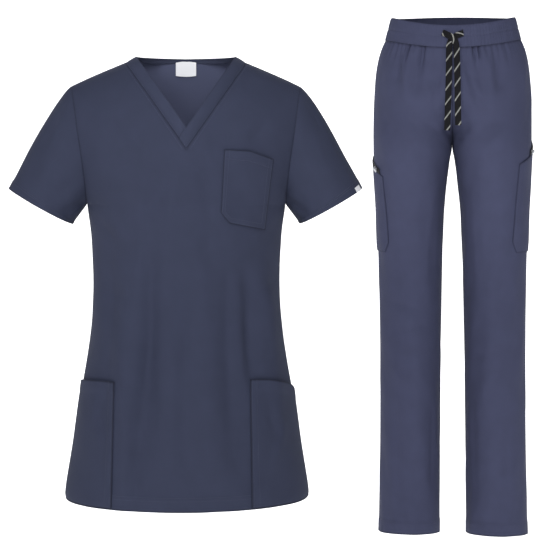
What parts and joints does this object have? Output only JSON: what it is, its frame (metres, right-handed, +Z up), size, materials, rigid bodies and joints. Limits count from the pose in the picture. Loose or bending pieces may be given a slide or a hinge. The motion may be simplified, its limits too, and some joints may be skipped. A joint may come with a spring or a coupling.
{
  "type": "medical scrubs, a v-neck top and drawcord trousers",
  "caption": "Hospital scrubs in slate navy: a V-neck short-sleeved top with patch pockets beside drawcord trousers with zipped thigh pockets, both hollow as worn.",
  "frame": {"origin": "the neck of the top: midway between the two points where the shoulder seams meet the neck, in the plane of the top's side seams", "axes": "+Z up, the fronts face -Y, +X towards the wearer's left; the trousers stand on the +X side, set back and turned 8.4 degrees to face the same viewer"},
  "size_m": [0.9444, 0.9542, 1.0138],
  "materials": {
    "cloth": "matt woven polyester and cotton, slate navy",
    "cloth_trim": "matt woven binding, slate navy",
    "cord": "flat black woven cord with light grey diagonal stripes",
    "zip_tape": "black woven tape with black moulded teeth",
    "zip_metal": "satin nickel",
    "label": "white satin ribbon, bare"
  },
  "bodies": {
    "garments": {"top_front": "cloth", "top_back": "cloth", "top_sleeve_right": "cloth", "top_sleeve_left": "cloth", "top_neckband_right": "cloth", "top_neckband_left": "cloth", "top_back_neck_binding": "cloth_trim", "top_chest_pocket": "cloth", "top_hip_pocket_right": "cloth", "top_hip_pocket_left": "cloth", "top_neck_label": "label", "top_sleeve_tag": "label", "trousers_front_right": "cloth", "trousers_back_right": "cloth", "trousers_front_left": "cloth", "trousers_back_left": "cloth", "trousers_waistband": "cloth", "trousers_thigh_pocket_right": "cloth", "trousers_thigh_pocket_left": "cloth", "trousers_zip_right": "zip_tape", "trousers_zip_left": "zip_tape", "trousers_zip_slider_right": "zip_metal", "trousers_zip_slider_left": "zip_metal", "drawcord_right": "cord", "drawcord_left": "cord"},
    "zip_pull_right": {"trousers_zip_pull_right": "zip_metal"},
    "zip_pull_left": {"trousers_zip_pull_left": "zip_metal"}
  },
  "joints": [
    {"name": "zip_pull_right_flip", "type": "hinge", "parent": "garments", "child": "zip_pull_right", "pos_m": [0.36123, 0.67993, -0.18413], "axis": [-0.002, 0.3401, -0.9404], "range_deg": [0, 165]},
    {"name": "zip_pull_left_flip", "type": "hinge", "parent": "garments", "child": "zip_pull_left", "pos_m": [0.66687, 0.64895, -0.15061], "axis": [-0.0893, -0.3028, 0.9489], "range_deg": [0, 165]}
  ]
}
